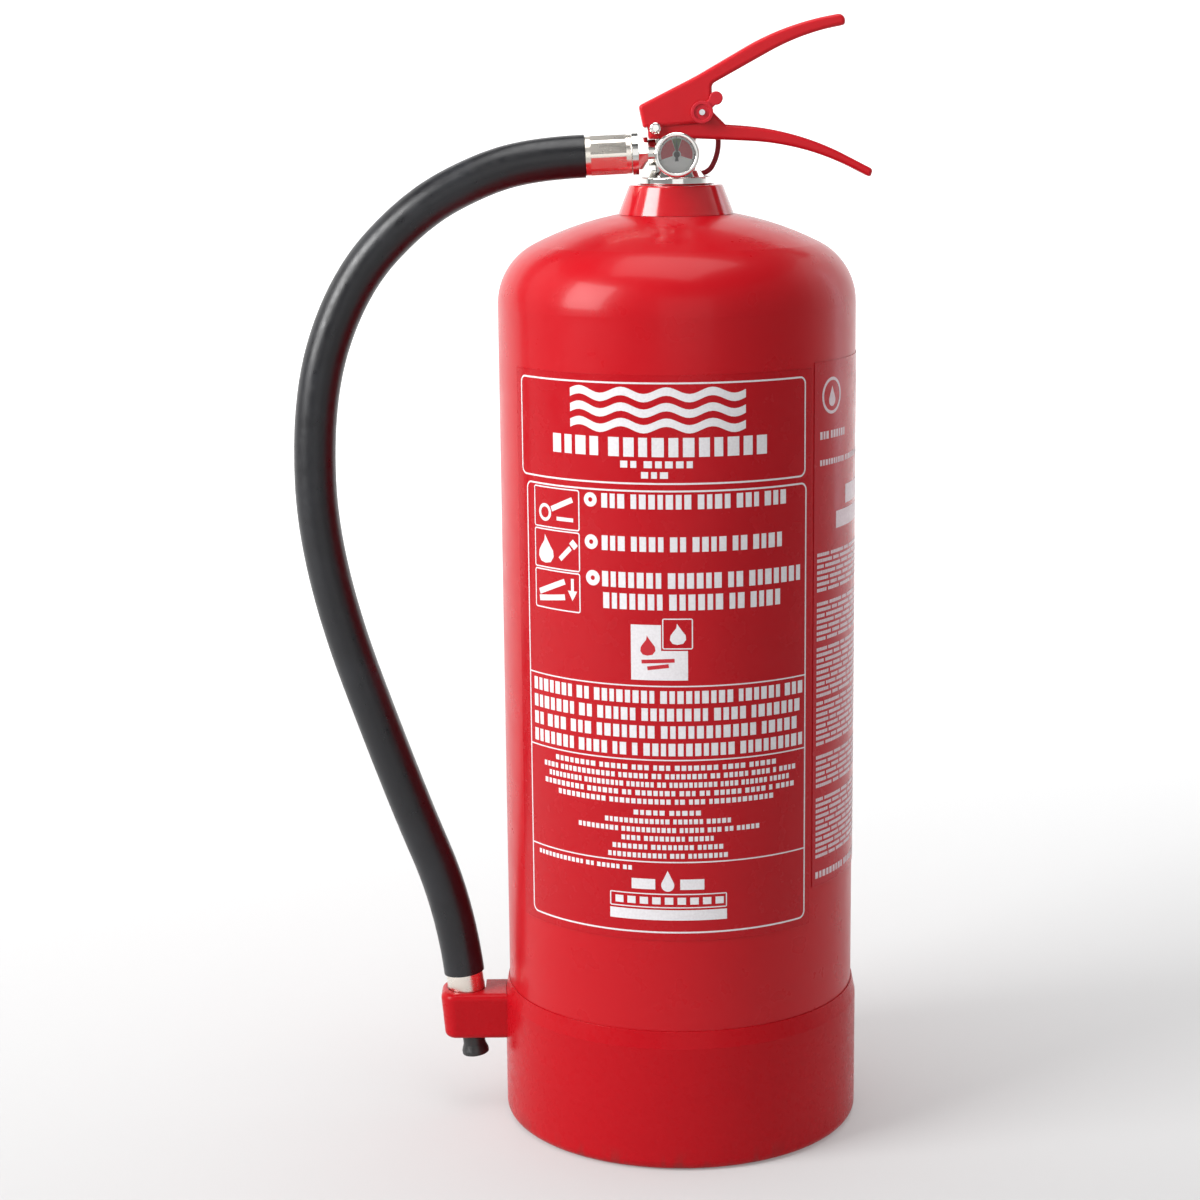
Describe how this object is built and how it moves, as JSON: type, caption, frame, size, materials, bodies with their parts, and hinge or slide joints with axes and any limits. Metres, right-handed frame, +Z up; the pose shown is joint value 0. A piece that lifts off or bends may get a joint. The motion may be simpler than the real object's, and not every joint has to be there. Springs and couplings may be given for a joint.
{
  "type": "fire extinguisher",
  "caption": "Tall red stored-pressure water fire extinguisher with a squeeze lever, carrying handle, pressure gauge, safety pin and a side hose clipped to its foot.",
  "frame": {"origin": "the middle of the foot ring's underside, on the cylinder's axis", "axes": "+Z up the cylinder's axis; -X towards the hose and its clip, +X along the carrying handle; -Y towards the side that the gauge faces"},
  "size_m": [0.3089, 0.195, 0.5983],
  "materials": {
    "red_enamel": "glossy",
    "red_plastic": "glossy",
    "lever_red": "glossy",
    "seal_red": "satin",
    "ring_red": "satin",
    "plated_brass": "polished",
    "ferrule_metal": "satin",
    "steel": "satin",
    "brass": "satin",
    "black_rubber": "matte",
    "black_plastic": "matte",
    "white_plastic": "matte",
    "dial_print": "satin",
    "needle_black": "satin",
    "lens_clear": "clear",
    "label_film": "glossy",
    "side_label_film": "glossy"
  },
  "bodies": {
    "extinguisher": {"cylinder_shell": "red_enamel", "base_dome": "red_enamel", "base_skirt": "red_plastic", "skirt_ribs": "red_plastic", "hose_clip": "red_plastic", "neck_boss": "red_enamel", "neck_o_ring": "black_rubber", "neck_collar": "red_plastic", "valve_body": "plated_brass", "stem_guide": "brass", "stem_spring": "steel", "dip_tube": "white_plastic", "dip_tube_strainer": "white_plastic", "gauge_stub": "plated_brass", "gauge_case": "plated_brass", "bourdon_tube": "brass", "gauge_dial": "dial_print", "gauge_lens": "lens_clear", "gauge_bezel": "plated_brass", "carry_handle": "lever_red", "handle_screws": "steel", "pivot_rivet": "plated_brass", "tamper_seal": "seal_red", "hose_nut": "plated_brass", "hose_washer": "black_rubber", "front_label": "label_film", "side_label": "side_label_film"},
    "lever": {"squeeze_lever": "lever_red"},
    "stem": {"valve_stem": "brass", "stem_seal": "black_rubber", "stem_o_ring": "black_rubber"},
    "pin": {"safety_pin": "steel"},
    "ring": {"pull_ring": "ring_red"},
    "needle": {"gauge_needle": "needle_black"},
    "hose": {"hose_tail": "plated_brass", "hose_ferrule": "ferrule_metal", "discharge_hose": "black_rubber", "nozzle_ferrule": "ferrule_metal", "nozzle_body": "brass", "nozzle_tip": "black_plastic"}
  },
  "joints": [
    {"name": "lever_squeeze", "type": "hinge", "parent": "extinguisher", "child": "lever", "pos_m": [-0.0109, 0, 0.5413], "axis": [0, 1, 0], "range_deg": [0, 9], "stiffness_Nm_per_rad": 1.5, "springref_deg": -22.92},
    {"name": "stem_press", "type": "slide", "parent": "extinguisher", "child": "stem", "axis": [0, 0, -1], "range_m": [0, 0.0028], "deforming": ["stem_spring"]},
    {"name": "pin_pull", "type": "slide", "parent": "extinguisher", "child": "pin", "axis": [0, 1, 0], "range_m": [0, 0.045]},
    {"name": "ring_swing", "type": "hinge", "parent": "pin", "child": "ring", "pos_m": [0.0133, 0.0185, 0.5492], "axis": [1, 0, 0], "range_deg": [0, 85]},
    {"name": "needle_turn", "type": "hinge", "parent": "extinguisher", "child": "needle", "pos_m": [-0.0003, -0.0265, 0.528], "axis": [0, 1, 0], "range_deg": [-75, 75], "stiffness_Nm_per_rad": 0.0002},
    {"name": "hose_swing", "type": "hinge", "parent": "extinguisher", "child": "hose", "pos_m": [0, 0, 0.5289], "axis": [0.9992, 0, 0.0401], "range_deg": [0, 90]}
  ],
  "couplings": [
    {"joint": "stem_press", "follows": "lever_squeeze", "m_per_rad": 0.017}
  ]
}
